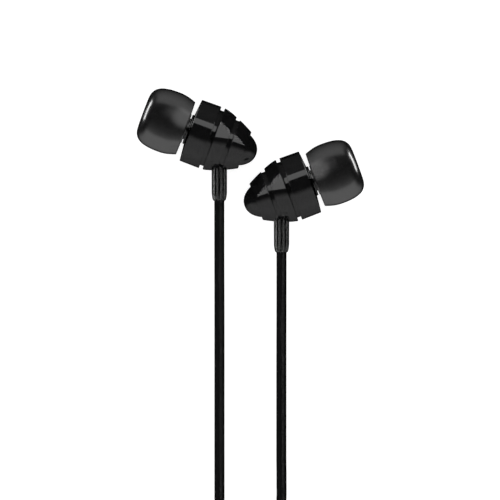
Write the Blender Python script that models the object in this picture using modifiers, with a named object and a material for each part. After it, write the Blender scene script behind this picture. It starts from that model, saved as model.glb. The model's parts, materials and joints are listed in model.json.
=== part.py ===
"""Wired in-ear earphones lying on a table, with the spare cord wound up and tied.

Two bullet-shaped housings lie on their sides with their sound axes level. Each one carries a
silicone ear tip on a nozzle, a driver, and a ribbed strain relief whose cord runs off along -Y.
The two cords are wound together, meet in a Y-split, and go on as one cord to a 3.5 mm plug.

Frame: +Z up, the table is z = 0, the origin is under the middle of the two earphones' box.
Lengths are in millimetres and are turned into metres where meshes are made.
An earphone's own frame has +Z along its sound axis, from the front rim towards the nose.
"""
import bmesh
import bpy
import math
from mathutils import Vector

MM = 0.001

# ---------------------------------------------------------------- driving dimensions
TILT = math.radians(20.4)            # sound axis against the X axis, seen from above
RIM_X = 11.36                        # front rim centre, each side of the middle
RIM_Y = {"left": 7.65, "right": -2.27}
RIM_RADIUS = 6.20
SHELL_RADIUS = 6.25                  # widest point of the housing
AXIS_Z = SHELL_RADIUS                # the housings lie on the table
COVER_END = 3.80                     # front shell, from the rim back
CONE_START = 4.64                    # rear shell's first cone
CONE_END = 7.26
GROOVE_END = 8.11
SHELL_END = 10.93
NOSE_END = 13.27
CONE_RADII = (6.23, 5.38)
TAIL_RADII = (5.07, 3.67)
SEAM_FLOOR = 5.56                    # floor of the groove between the shells
GROOVE_FLOOR = 4.81                  # floor of the groove that the cord leaves through
RUNNING_GAP = 0.06                   # between pieces that slip into each other

NOZZLE_RADIUS = 2.10
NOZZLE_BORE = 1.60
NOZZLE_END = -6.20
BARB_RADIUS = 2.35
COLLAR_RADIUS = 2.94
COLLAR_FRONT = -0.75

TIP_BORE = 2.42
TIP_FRONT = -9.92
TIP_RADIUS = 6.03

BOOT_SIDE = 5.44                     # boot axis, from the rim centre towards the nose
BOOT_ENTRY = 7.50                    # where the boot crosses the housing's surface
BOOT_END = 13.54
BOOT_RADIUS = 1.44
BOOT_HOLE = 1.60

CORD_RADIUS = 0.95
CORD_BORE = 1.03
CORD_Z = 1.0                         # cord centre where it lies on the table
END_GAP = 0.3                        # between a cord's end and the piece it goes into
TRACK = 1.95                         # spacing of neighbouring turns
COIL_BASE = 0.60                     # coils lie on the tie's lower run
COIL_MARGIN = 0.10

COIL_LAYERS = 4
UPPER_COIL_Y = -94.0                 # each upper cord fills two layers of this coil
UPPER_COIL_INNER = 9.20              # innermost cord centre
UPPER_COIL_OUTER = 13.10             # outermost cord centre
UPPER_COIL_ENTRY = 12.78             # radius at which the upper cords come in
RIGHT_ENTRY = math.radians(30.0)     # where the right cord joins its coil, before the -X side
MAIN_COIL_Y = -146.0
MAIN_COIL_INNER = 8.58
MAIN_COIL_OUTER = 13.94
MAIN_COIL_ENTRY = 13.62              # radius at which the main cord comes in

SPLIT_X = -4.95
SPLIT_TOP = -113.0
SPLIT_LENGTH = 14.0
SPLIT_WIDTHS = (8.0, 5.6)
SPLIT_HEIGHT = 4.2
SPLIT_BOOT = 6.0

PLUG_X = -15.4
PLUG_Z = 2.80                        # plug axis, the grip's own radius
PLUG_BOOT_END = -154.2
PLUG_BOOT_LENGTH = 8.0
GRIP_LENGTH = 14.0
PIN_RADIUS = 1.75
PIN_LENGTH = 14.0

ROUND = 28                           # sides of the large turned pieces
SMALL = 18                           # sides of the driver's pieces
FINE = 12                            # sides of boots and plug contacts


# ---------------------------------------------------------------- helpers
def clear_scene():
    for item in list(bpy.data.objects):
        bpy.data.objects.remove(item, do_unlink=True)


def new_collection(name):
    group = bpy.data.collections.new(name)
    bpy.context.scene.collection.children.link(group)
    return group


def new_material(name, colour, roughness, metallic=0.0):
    mat = bpy.data.materials.new(name)
    mat.use_nodes = True
    shader = mat.node_tree.nodes["Principled BSDF"]
    shader.inputs["Base Color"].default_value = (*colour, 1.0)
    shader.inputs["Roughness"].default_value = roughness
    shader.inputs["Metallic"].default_value = metallic
    return mat


def add_object(name, data, group, mat=None, parent=None):
    item = bpy.data.objects.new(name, data)
    group.objects.link(item)
    if mat is not None:
        data.materials.append(mat)
    item.parent = parent
    return item


def add_empty(name, location, turn=(0.0, 0.0, 0.0), parent=None):
    item = add_object(name, None, PARTS, None, parent)
    item.location = Vector(location) * MM
    item.rotation_euler = turn
    item.empty_display_size = 5 * MM
    return item


def downward(profile):
    """Order a closed (radius, z) outline so that its outer side runs from top to bottom."""
    area = 0.0
    for (r0, z0), (r1, z1) in zip(profile, profile[1:] + profile[:1]):
        area += r0 * z1 - r1 * z0
    return profile if area < 0 else profile[::-1]


def turned(name, profile, sides, mat, parent, group=None):
    """Turn a closed (radius, z) outline about the parent's Z axis.

    An outline with points on the axis is left open between its two axis points."""
    points = downward(list(profile))
    on_axis = [i for i, (r, _) in enumerate(points) if r == 0.0]
    if on_axis:
        top = max(on_axis, key=lambda i: points[i][1])
        points = points[top:] + points[:top]
    edges = [(i, i + 1) for i in range(len(points) - 1)]
    if not on_axis:
        edges.append((len(points) - 1, 0))
    mesh = bpy.data.meshes.new(name)
    mesh.from_pydata([(r * MM, 0.0, z * MM) for r, z in points], edges, [])
    item = add_object(name, mesh, group or PARTS, mat, parent)
    screw = item.modifiers.new("turn", "SCREW")
    screw.axis = "Z"
    screw.angle = 2 * math.pi
    screw.steps = sides
    screw.render_steps = sides
    screw.use_merge_vertices = True
    screw.merge_threshold = 1e-6
    screw.use_smooth_shade = True
    return item


def ring_outline(inner, outer, low, high, chamfer=0.0):
    """Outline of a ring of rectangular section, with its outer corners chamfered."""
    if not chamfer:
        return [(outer, high), (outer, low), (inner, low), (inner, high)]
    return [(outer - chamfer, high), (outer, high - chamfer), (outer, low + chamfer),
            (outer - chamfer, low), (inner, low), (inner, high)]


def disc_outline(radius, low, high):
    return [(0.0, high), (radius, high), (radius, low), (0.0, low)]


def cylinder_cutter(name, radius, low, high, parent, spot=(0.0, 0.0)):
    mesh = bpy.data.meshes.new(name)
    body = bmesh.new()
    bmesh.ops.create_cone(body, cap_ends=True, segments=FINE, radius1=radius * MM,
                          radius2=radius * MM, depth=(high - low) * MM)
    middle = Vector((spot[0], spot[1], (low + high) / 2)) * MM
    bmesh.ops.translate(body, verts=body.verts, vec=middle)
    body.to_mesh(mesh)
    body.free()
    item = add_object(name, mesh, CUTTERS, None, parent)
    item.hide_render = True
    item.display_type = "WIRE"
    return item


def cut(target, cutter):
    boolean = target.modifiers.new("cut", "BOOLEAN")
    boolean.operation = "DIFFERENCE"
    boolean.solver = "EXACT"
    boolean.object = cutter


def catmull_rom(route, steps=24):
    """Dense points on a smooth curve through the route's points."""
    ends = [2 * route[0] - route[1], *route, 2 * route[-1] - route[-2]]
    dense = []
    for p0, p1, p2, p3 in zip(ends, ends[1:], ends[2:], ends[3:]):
        for step in range(steps):
            t = step / steps
            dense.append(0.5 * (2 * p1 + (p2 - p0) * t + (2 * p0 - 5 * p1 + 4 * p2 - p3) * t ** 2
                                + (3 * p1 - p0 - 3 * p2 + p3) * t ** 3))
    dense.append(route[-1])
    return dense


def even_points(dense, spacing):
    """Points a fixed distance apart along a dense polyline."""
    total = sum((b - a).length for a, b in zip(dense, dense[1:]))
    count = max(2, round(total / spacing))
    picked = [dense[0]]
    walked = 0.0
    for a, b in zip(dense, dense[1:]):
        step = (b - a).length
        while len(picked) < count and walked + step >= total * len(picked) / count:
            picked.append(a.lerp(b, (total * len(picked) / count - walked) / step))
        walked += step
    picked.append(dense[-1])
    return picked


def tube(name, route, radius, mat, spacing=4.5, parent=None):
    """A round tube with closed ends along a smooth curve through the route's points."""
    points = even_points(catmull_rom([Vector(p) for p in route]), spacing)
    curve = bpy.data.curves.new(name, "CURVE")
    curve.dimensions = "3D"
    curve.bevel_depth = radius * MM
    curve.bevel_resolution = 2
    curve.use_fill_caps = True
    spline = curve.splines.new("POLY")
    spline.points.add(len(points) - 1)
    for slot, point in zip(spline.points, points):
        slot.co = (*(point * MM), 1.0)
    return add_object(name, curve, PARTS, mat, parent)


# ---------------------------------------------------------------- one earphone
def ear_tip(side, axis):
    """Silicone tip: a sleeve on the nozzle, a rounded front, and a skirt folded back over it."""
    outline = [
        (5.30, -1.26), (5.86, -2.90), (TIP_RADIUS, -4.60), (5.98, -6.40), (5.59, -8.39),
        (5.05, -9.15), (4.40, -9.60), (3.85, -9.82), (3.00, TIP_FRONT), (2.62, -9.78),
        (TIP_BORE, -9.40), (TIP_BORE, -1.00), (2.94, -1.00), (2.94, -8.20), (3.30, -8.75),
        (4.10, -8.60), (4.85, -7.80), (5.30, -6.30), (5.38, -4.60), (5.22, -2.90), (4.86, -1.50),
    ]
    return turned(f"{side}_ear_tip", outline, ROUND, SILICONE, axis)


def front_shell(side, axis):
    """Nozzle with its barb and collar, a shallow cone out to the rim, and the front cylinder."""
    outline = [
        (SHELL_RADIUS, COVER_END), (RIM_RADIUS, 0.14), (6.04, 0.0),
        (COLLAR_RADIUS, -0.39), (COLLAR_RADIUS, COLLAR_FRONT), (NOZZLE_RADIUS, COLLAR_FRONT),
        (NOZZLE_RADIUS, -4.60), (BARB_RADIUS, -4.85), (BARB_RADIUS, -5.40),
        (2.12, NOZZLE_END), (1.86, NOZZLE_END), (1.86, -5.90), (NOZZLE_BORE, -5.90),
        (NOZZLE_BORE, -0.10), (2.40, 0.60), (5.30, 0.60),
        (5.30, 2.60), (SEAM_FLOOR + RUNNING_GAP, 2.60), (SEAM_FLOOR + RUNNING_GAP, COVER_END),
    ]
    return turned(f"{side}_front_shell", outline, ROUND, GLOSS_BLACK, axis)


def rear_shell(side, axis, boot_axis):
    """Two cones with a groove between them, and a spigot that slips into the front shell."""
    outline = [
        (TAIL_RADII[1], SHELL_END), (TAIL_RADII[0], GROOVE_END), (GROOVE_FLOOR, GROOVE_END),
        (GROOVE_FLOOR, CONE_END), (CONE_RADII[1], CONE_END), (CONE_RADII[0], CONE_START),
        (SEAM_FLOOR, CONE_START), (SEAM_FLOOR, 2.75), (5.05, 2.75), (5.05, 5.20),
        (4.10, 6.60), (4.10, 8.40), (3.12, 10.20), (3.12, SHELL_END),
    ]
    shell = turned(f"{side}_rear_shell", outline, ROUND, GLOSS_BLACK, axis)
    cut(shell, cylinder_cutter(f"{side}_boot_hole", BOOT_HOLE, -2.6, 3.0, boot_axis))
    return shell


def rear_cap(side, axis):
    """Nose cap: a hollow dome on a skirt that plugs the rear shell's end."""
    outline = [
        (0.0, NOSE_END), (0.70, 13.10), (1.48, 12.80), (2.04, 12.33), (2.62, 11.72), (3.06, 11.05),
        (3.06, 9.90), (2.50, 9.90), (2.50, 11.00), (1.60, 12.10), (0.0, 12.62),
    ]
    return turned(f"{side}_rear_cap", outline, ROUND, GLOSS_BLACK, axis)


def strain_relief(side, boot_axis):
    """Rubber boot: an inner flange, then a slim sleeve that tapers to the cord."""
    end = BOOT_END - BOOT_ENTRY
    outline = [
        (CORD_BORE + 0.12, end), (BOOT_RADIUS - 0.15, end - 0.35), (BOOT_RADIUS, 2.2),
        (BOOT_RADIUS, -1.90), (1.85, -1.90), (1.85, -2.30), (CORD_BORE, -2.30), (CORD_BORE, end),
    ]
    return turned(f"{side}_boot", outline, FINE, RUBBER, boot_axis)


def driver(side, axis):
    """Moving-coil driver, front to back, with each ring and disc as its own piece."""
    pieces = {
        "nozzle_screen": (disc_outline(1.80, -6.14, -5.94), MESH_STEEL),
        "driver_gasket": (ring_outline(4.55, 5.20, 0.68, 1.10), FOAM),
        "driver_frame": ([(5.15, 2.40), (5.15, 1.55), (4.75, 1.55), (4.75, 2.10), (4.20, 2.45),
                          (3.30, 3.00), (3.30, 3.60), (3.90, 3.60), (4.75, 2.80)], STEEL),
        "top_plate": (disc_outline(1.58, 2.62, 3.02), STEEL),
        "magnet": (disc_outline(1.48, 3.08, 4.00), MAGNET),
        "yoke": ([(0.0, 4.50), (3.00, 4.50), (3.20, 4.20), (3.20, 2.62), (2.35, 2.62), (2.35, 4.06),
                  (0.0, 4.06)], STEEL),
        "terminal_board": (disc_outline(2.70, 4.62, 4.92), BOARD),
    }
    for name, (outline, mat) in pieces.items():
        turned(f"{side}_{name}", outline, SMALL, mat, axis)
    cover = turned(f"{side}_driver_cover", ring_outline(1.10, 5.15, 1.18, 1.42), SMALL, STEEL, axis)
    ports = 6
    for port in range(ports):
        angle = 2 * math.pi * port / ports
        spot = (2.9 * math.cos(angle), 2.9 * math.sin(angle))
        cut(cover, cylinder_cutter(f"{side}_port_{port}", 0.70, 0.9, 1.7, axis, spot))


def diaphragm(side, axis):
    """Thin cone with a domed middle and a half-round surround."""
    front = [(0.0, 1.66), (1.20, 1.78), (1.95, 1.98), (2.80, 1.84), (3.70, 1.68), (4.55, 1.84)]
    skin = 0.09
    back = [(r, z + skin) for r, z in front]
    outline = back[::-1] + front
    return turned(f"{side}_diaphragm", outline[::-1], SMALL, FILM, axis)


def voice_coil(side, axis):
    outline = ring_outline(1.78, 2.10, 2.14, 3.30)
    return turned(f"{side}_voice_coil", outline, SMALL, COPPER, axis)


def wiring(side, axis, away):
    """A crimped stop on the cord's end inside the housing, and the two leads to the board.

    away is the cord's side along the earphone's own Y axis."""
    lean = (-away * (math.pi / 2 - TILT), 0.0, 0.0)
    knot_axis = add_empty(f"{side}_cord_stop_axis", (0.0, 1.30 * away, 6.55), lean, axis)
    barrel = [(0.0, 0.85), (0.70, 0.85), (1.05, 0.50), (1.05, -0.50), (0.70, -0.85), (0.0, -0.85)]
    turned(f"{side}_cord_stop", barrel, FINE, CRIMP, knot_axis)
    for name, mat, x in (("live", LEAD_RED, 0.45), ("return", LEAD_GREEN, -0.45)):
        route = [(x, 0.10 * away, 6.15), (x * 1.8, -0.35 * away, 5.95),
                 (x * 2.6, -0.95 * away, 5.60), (x * 2.8, -1.25 * away, 5.12)]
        tube(f"{side}_{name}_lead", route, 0.16, mat, spacing=0.5, parent=axis)


def earphone(side):
    """Build one earphone. The right one mirrors the left one in shape and in place."""
    mirror = -1 if side == "left" else 1
    heading = -TILT if side == "left" else math.pi + TILT
    centre_x = mirror * RIM_X
    axis = add_empty(f"{side}_axis", (centre_x, RIM_Y[side], AXIS_Z), (0.0, math.pi / 2, heading))
    boot_x = mirror * (RIM_X - BOOT_SIDE)
    boot_axis = add_empty(f"{side}_boot_axis", (boot_x, RIM_Y[side] - BOOT_ENTRY, AXIS_Z),
                          (math.pi / 2, 0.0, 0.0))
    ear_tip(side, axis)
    front_shell(side, axis)
    rear_shell(side, axis, boot_axis)
    rear_cap(side, axis)
    strain_relief(side, boot_axis)
    driver(side, axis)
    diaphragm(side, axis)
    voice_coil(side, axis)
    wiring(side, axis, mirror)


# ---------------------------------------------------------------- cords
def coil_ring(name, x, y, inner, outer):
    """The outer shape of a wound coil, as one turned ring."""
    axis = add_empty(f"{name}_axis", (x, y, 0.0))
    outline = ring_outline(inner - CORD_RADIUS - COIL_MARGIN, outer + CORD_RADIUS + COIL_MARGIN,
                           COIL_BASE, COIL_BASE + COIL_LAYERS * TRACK + COIL_MARGIN, chamfer=0.5)
    turned(name, outline, ROUND, CORD, axis)
    return axis


def cord_tie(name, axis, inner, outer):
    """A soft band closed round the coil's section on its far side from the leads."""
    thickness = 0.38
    clearance = 0.17
    half_width = 1.4
    corner = 0.2
    low = thickness
    high = COIL_BASE + COIL_LAYERS * TRACK + COIL_MARGIN + clearance
    hole = (inner - CORD_RADIUS - COIL_MARGIN) * math.cos(math.pi / ROUND)
    near = math.sqrt(hole ** 2 - half_width ** 2) - clearance
    far = outer + CORD_RADIUS + COIL_MARGIN + clearance
    section = [(near + corner, low), (far - corner, low), (far, low + corner), (far, high - corner),
               (far - corner, high), (near + corner, high), (near, high - corner), (near, low + corner)]
    body = bmesh.new()
    corners = [body.verts.new((x * MM, -half_width * MM, z * MM)) for x, z in section]
    loop = [body.edges.new((a, b)) for a, b in zip(corners, corners[1:] + corners[:1])]
    swept = bmesh.ops.extrude_edge_only(body, edges=loop)["geom"]
    moved = [v for v in swept if isinstance(v, bmesh.types.BMVert)]
    bmesh.ops.translate(body, verts=moved, vec=(0.0, 2 * half_width * MM, 0.0))
    bmesh.ops.recalc_face_normals(body, faces=body.faces)
    mesh = bpy.data.meshes.new(name)
    body.to_mesh(mesh)
    body.free()
    item = add_object(name, mesh, PARTS, TIE, axis)
    wrap = item.modifiers.new("thickness", "SOLIDIFY")
    wrap.thickness = thickness * MM
    wrap.offset = 1.0
    return item


def upper_cords():
    """Both upper cords from their boots to the coil, then from the coil to the Y-split."""
    left_x = -(RIM_X - BOOT_SIDE)
    right_x = RIM_X - BOOT_SIDE
    left_start = RIM_Y["left"] - BOOT_END - END_GAP
    right_start = RIM_Y["right"] - BOOT_END - END_GAP
    lead_reach = 8.1                 # a lead stops this far from where it touches its coil
    left_end = UPPER_COIL_Y + lead_reach
    left_route = [
        (left_x, left_start, AXIS_Z), (left_x, -10.0, 6.15), (left_x, -14.5, 5.45),
        (left_x, -19.5, 3.70), (left_x, -24.5, 1.90), (left_x, -30.0, 1.10), (left_x, -38.0, CORD_Z),
        (left_x, -50.0, CORD_Z), (left_x, -62.0, CORD_Z), (left_x, -75.0, CORD_Z),
        (left_x, left_end, CORD_Z + 0.35),
    ]
    touch_x = left_x + UPPER_COIL_ENTRY * (1 - math.cos(RIGHT_ENTRY))
    touch_y = UPPER_COIL_Y + UPPER_COIL_ENTRY * math.sin(RIGHT_ENTRY)
    right_end = (touch_x + lead_reach * math.sin(RIGHT_ENTRY),
                 touch_y + lead_reach * math.cos(RIGHT_ENTRY), 4.70)
    right_route = [
        (right_x, right_start, AXIS_Z), (right_x, -20.0, 6.15), (right_x, -24.5, 5.45),
        (right_x, -29.5, 3.70), (right_x, -34.5, 1.90), (right_x, -40.0, 1.10),
        (right_x, -48.0, CORD_Z), (right_x, -56.0, CORD_Z), (right_x, -63.5, CORD_Z),
        (5.50, -67.8, 1.15), (4.25, -72.2, 1.95), (2.15, -76.6, 3.30), right_end,
    ]
    tube("left_cord", left_route, CORD_RADIUS, CORD)
    tube("right_cord", right_route, CORD_RADIUS, CORD)
    tail_start = UPPER_COIL_Y - lead_reach
    tail_end = SPLIT_TOP + END_GAP
    split_z = SPLIT_HEIGHT / 2
    left_tail = [(-6.24, tail_start, 3.10), (-6.15, -106.0, 2.45), (left_x, tail_end, split_z)]
    right_tail = [(-5.80, tail_start - 0.5, 6.30), (-5.10, -105.8, 4.50), (-4.25, -109.4, 2.70),
                  (left_x + TRACK + 0.05, tail_end, split_z)]
    tube("left_cord_tail", left_tail, CORD_RADIUS, CORD, spacing=2.0)
    tube("right_cord_tail", right_tail, CORD_RADIUS, CORD, spacing=2.0)


def main_cord():
    """The cord from the Y-split to the main coil, and from there to the plug."""
    lead_reach = 7.8
    split_z = SPLIT_HEIGHT / 2
    lead_start = SPLIT_TOP - SPLIT_LENGTH - 2 * END_GAP - SPLIT_BOOT
    lead = [(SPLIT_X, lead_start, split_z), (SPLIT_X, lead_start - 2.2, split_z - 0.25),
            (SPLIT_X, MAIN_COIL_Y + lead_reach, CORD_Z + 0.35)]
    tube("main_cord_lead", lead, CORD_RADIUS, CORD, spacing=2.0)
    tail = [
        (-5.28, MAIN_COIL_Y - lead_reach, 6.30), (-5.30, -157.2, 4.60), (-5.50, -160.6, 2.75),
        (-6.30, -163.9, 1.45), (-7.95, -166.4, CORD_Z), (-10.40, -167.6, CORD_Z),
        (-12.95, -166.5, CORD_Z), (-14.75, -163.8, 1.10), (-15.35, -160.2, 1.65),
        (PLUG_X, -157.2, 2.45), (PLUG_X, PLUG_BOOT_END - END_GAP, PLUG_Z),
    ]
    tube("main_cord_tail", tail, CORD_RADIUS, CORD, spacing=3.0)


def y_split():
    """A small flat-bottomed moulding that narrows from two cords to one, with its own boot."""
    mesh = bpy.data.meshes.new("y_split")
    body = bmesh.new()
    bmesh.ops.create_cube(body, size=1.0)
    for vert in body.verts:
        width = SPLIT_WIDTHS[0] if vert.co.y > 0 else SPLIT_WIDTHS[1]
        vert.co = (vert.co.x * width * MM, vert.co.y * SPLIT_LENGTH * MM, vert.co.z * SPLIT_HEIGHT * MM)
    body.to_mesh(mesh)
    body.free()
    item = add_object("y_split", mesh, PARTS, RUBBER)
    centre = (SPLIT_X, SPLIT_TOP - SPLIT_LENGTH / 2, SPLIT_HEIGHT / 2)
    item.location = Vector(centre) * MM
    bevel = item.modifiers.new("edges", "BEVEL")
    bevel.width = 1.2 * MM
    bevel.segments = 3
    bevel.limit_method = "ANGLE"
    boot_axis = add_empty("y_split_axis", (SPLIT_X, SPLIT_TOP - SPLIT_LENGTH - END_GAP, SPLIT_HEIGHT / 2),
                          (math.pi / 2, 0.0, 0.0))
    outline = [(CORD_BORE + 0.15, SPLIT_BOOT), (1.30, SPLIT_BOOT - 0.3), (1.75, 0.6), (1.75, 0.0),
               (CORD_BORE, 0.0), (CORD_BORE, SPLIT_BOOT)]
    turned("y_split_boot", outline, FINE, RUBBER, boot_axis)


# ---------------------------------------------------------------- plug
def plug():
    """3.5 mm three-pole plug: nested contacts and insulators, a grip and a boot.

    Its own frame has +Z along the pin, with z = 0 at the collar's front face."""
    shoulder_y = PLUG_BOOT_END + PLUG_BOOT_LENGTH + 2 * END_GAP + GRIP_LENGTH
    axis = add_empty("plug_axis", (PLUG_X, shoulder_y, PLUG_Z), (-math.pi / 2, 0.0, 0.0))
    grip_low = -GRIP_LENGTH - END_GAP
    boot_high = grip_low - END_GAP
    boot_low = boot_high - PLUG_BOOT_LENGTH
    boot = [(2.15, boot_high), (2.15, boot_high - 1.0), (1.35, boot_low + 0.3),
            (CORD_BORE + 0.15, boot_low), (CORD_BORE, boot_low), (CORD_BORE, boot_high)]
    turned("plug_boot", boot, FINE, RUBBER, axis)
    grip = [
        (2.55, -0.30), (PLUG_Z, -0.75), (PLUG_Z, -5.0), (2.55, -9.5), (2.55, grip_low + 0.5),
        (2.25, grip_low), (1.20, grip_low), (1.20, -11.0), (1.95, -10.2), (1.95, -1.35),
        (2.35, -1.35), (2.35, -0.30),
    ]
    turned("plug_grip", grip, SMALL, GLOSS_BLACK, axis)
    sleeve = [(PIN_RADIUS, 7.20), (PIN_RADIUS, 0.0), (2.28, 0.0), (2.28, -1.20), (1.75, -1.20),
              (1.75, -2.60), (1.16, -2.60), (1.16, 7.20)]
    turned("plug_sleeve", sleeve, SMALL, PLUG_METAL, axis)
    rear = [(1.70, 8.15), (1.70, 7.26), (1.11, 7.26), (1.11, -3.2), (0.96, -3.2), (0.96, 8.15)]
    turned("plug_rear_insulator", rear, FINE, INSULATOR, axis)
    contact = [(PIN_RADIUS, 10.05), (PIN_RADIUS, 8.21), (0.90, 8.21), (0.90, -4.0), (0.70, -4.0),
               (0.70, 10.05)]
    turned("plug_ring", contact, FINE, PLUG_METAL, axis)
    front = [(1.70, 10.95), (1.70, 10.11), (0.65, 10.11), (0.65, -4.6), (0.50, -4.6), (0.50, 10.95)]
    turned("plug_front_insulator", front, FINE, INSULATOR, axis)
    tip = [(0.0, PIN_LENGTH), (0.45, PIN_LENGTH), (0.85, 13.75), (1.62, 12.85), (1.62, 12.50),
           (1.25, 11.95), (1.72, 11.35), (1.72, 11.01), (0.45, 11.01), (0.45, -5.2), (0.0, -5.2)]
    turned("plug_tip", tip, FINE, PLUG_METAL, axis)


# ---------------------------------------------------------------- build
clear_scene()
PARTS = new_collection("wired_earphones")
CUTTERS = new_collection("cutters")

GLOSS_BLACK = new_material("gloss_black", (0.010, 0.010, 0.011), 0.18)
SILICONE = new_material("silicone", (0.012, 0.012, 0.012), 0.42)
RUBBER = new_material("rubber", (0.022, 0.022, 0.023), 0.55)
CORD = new_material("cord", (0.010, 0.010, 0.010), 0.45)
TIE = new_material("tie", (0.018, 0.018, 0.018), 0.80)
MESH_STEEL = new_material("mesh_steel", (0.42, 0.42, 0.43), 0.35, 1.0)
STEEL = new_material("steel", (0.55, 0.55, 0.56), 0.30, 1.0)
MAGNET = new_material("magnet", (0.50, 0.50, 0.52), 0.22, 1.0)
COPPER = new_material("copper", (0.72, 0.35, 0.18), 0.35, 1.0)
FILM = new_material("film", (0.50, 0.48, 0.42), 0.25)
FOAM = new_material("foam", (0.03, 0.03, 0.03), 0.95)
BOARD = new_material("board", (0.02, 0.16, 0.07), 0.45)
CRIMP = new_material("crimp", (0.65, 0.64, 0.60), 0.35, 1.0)
LEAD_RED = new_material("lead_red", (0.55, 0.05, 0.03), 0.40)
LEAD_GREEN = new_material("lead_green", (0.03, 0.30, 0.10), 0.40)
PLUG_METAL = new_material("plug_metal", (0.86, 0.70, 0.38), 0.22, 1.0)
INSULATOR = new_material("insulator", (0.015, 0.015, 0.015), 0.35)

for earphone_side in ("left", "right"):
    earphone(earphone_side)
upper_cords()
upper_axis = coil_ring("upper_cord_coil", BOOT_SIDE - RIM_X + UPPER_COIL_ENTRY, UPPER_COIL_Y,
                       UPPER_COIL_INNER, UPPER_COIL_OUTER)
cord_tie("upper_coil_tie", upper_axis, UPPER_COIL_INNER, UPPER_COIL_OUTER)
y_split()
main_cord()
main_axis = coil_ring("main_cord_coil", SPLIT_X + MAIN_COIL_ENTRY, MAIN_COIL_Y,
                      MAIN_COIL_INNER, MAIN_COIL_OUTER)
cord_tie("main_coil_tie", main_axis, MAIN_COIL_INNER, MAIN_COIL_OUTER)
plug()
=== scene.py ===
"""Looks of the wired in-ear earphones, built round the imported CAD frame.

World frame: +Z up, the table is z = 0, and the camera looks straight down with +Y up in the view.
Lengths are in millimetres and are turned into metres where meshes are made.
An earphone's own frame has +Z along its sound axis, from the front rim towards the nose.
"""
import bmesh
import bpy
import json
import math
from mathutils import Matrix, Vector


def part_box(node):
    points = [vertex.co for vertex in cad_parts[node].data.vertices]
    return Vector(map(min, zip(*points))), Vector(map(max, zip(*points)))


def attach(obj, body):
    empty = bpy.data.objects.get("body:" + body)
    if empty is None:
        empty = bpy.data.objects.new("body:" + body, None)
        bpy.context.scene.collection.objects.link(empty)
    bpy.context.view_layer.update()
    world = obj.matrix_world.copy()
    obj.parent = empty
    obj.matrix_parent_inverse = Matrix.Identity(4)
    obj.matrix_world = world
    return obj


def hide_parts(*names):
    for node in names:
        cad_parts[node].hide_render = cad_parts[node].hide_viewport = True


MM = 0.001
SIGN = {"left": -1, "right": 1}      # which way along X each earphone faces
UP = (0.0, 0.0, 1.0)

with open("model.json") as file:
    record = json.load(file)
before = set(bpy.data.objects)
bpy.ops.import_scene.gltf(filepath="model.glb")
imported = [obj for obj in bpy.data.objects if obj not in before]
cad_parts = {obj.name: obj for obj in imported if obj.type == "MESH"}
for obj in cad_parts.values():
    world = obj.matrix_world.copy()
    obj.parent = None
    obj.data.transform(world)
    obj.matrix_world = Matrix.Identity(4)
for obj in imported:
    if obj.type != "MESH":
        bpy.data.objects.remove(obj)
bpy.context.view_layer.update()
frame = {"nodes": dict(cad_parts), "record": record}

# ---------------------------------------------------------------- dimensions
# These follow the CAD. BOOT_SIDE and CORD_RADIUS differ from it by less than 0.1.
TILT = math.radians(20.4)            # angle of the sound axes from the X axis
RIM_X = 11.36                        # centre of each front rim
RIM_Y = {"left": 7.65, "right": -2.27}
AXIS_Z = 6.25
BOOT_SIDE = 5.38                     # from the rim's centre to the strain relief, along X
BOOT_ENTRY = 7.50                    # from the rim's centre to the strain relief's start, along -Y
BOOT_END = 13.54                     # and to its end
BOOT_X = RIM_X - BOOT_SIDE

CORD_RADIUS = 0.975
CORD_Z = 1.0                         # height of a cord that lies on the table
CURVE_STEPS = 24                     # points for each stretch of a smooth route
TRACK = 1.95                         # from one turn of a coil to the next
COIL_STEPS = 24                      # points for each turn of a coil
COIL_CLIMB = 1 / 6                   # share of a turn in which the cord climbs to the next layer
COIL_BASE_Z = 1.37
UPPER_COIL = (6.86, -94.0)
UPPER_ENTRY = 12.78                  # radius at which a cord meets the upper coil
RIGHT_ENTRY = math.radians(30.0)
MAIN_COIL = (8.67, -146.0)

SPLIT_X = -4.95
SPLIT_CORD_Z = 2.10                  # height of the cords in the split
PLUG_X = -15.4
PLUG_Z = 2.80
SHOULDER_Y = -131.6


# ---------------------------------------------------------------- camera
def make_camera():
    """A long lens straight above, so that the view is nearly flat."""
    view_width = 96.15
    view_middle = (-0.08, -15.34)
    lens = 400.0
    sensor = 36.0
    data = bpy.data.cameras.new("camera")
    data.lens = lens
    data.sensor_width = sensor
    data.clip_start = 0.01
    data.clip_end = 20.0
    camera = bpy.data.objects.new("camera", data)
    bpy.context.scene.collection.objects.link(camera)
    camera.location = Vector((*view_middle, AXIS_Z + view_width * lens / sensor)) * MM
    bpy.context.scene.camera = camera


# ---------------------------------------------------------------- cord routes
def ease(share):
    share = min(max(share, 0.0), 1.0)
    return share * share * (3.0 - 2.0 * share)


def coil_points(centre, begin, inner, layers, turns):
    """A cord wound in flat layers, the first from outside in and the next back out."""
    first_layer, layer_count = layers
    each = turns / layer_count
    span = each - COIL_CLIMB
    count = round(turns * COIL_STEPS)
    points = []
    for step in range(count + 1):
        turn = turns * step / count
        layer = min(int(turn / each + 1e-9), layer_count - 1)
        within = turn - layer * each
        last = layer == layer_count - 1
        run = within if last else min(within, span)
        radius = inner + TRACK * (span - run if layer % 2 == 0 else run)
        climb = 0.0 if last else ease((within - span) / COIL_CLIMB)
        angle = begin + 2 * math.pi * turn
        x = centre[0] + radius * math.cos(angle)
        y = centre[1] + radius * math.sin(angle)
        points.append(Vector((x, y, COIL_BASE_Z + TRACK * (first_layer + layer + climb))))
    return points


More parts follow.
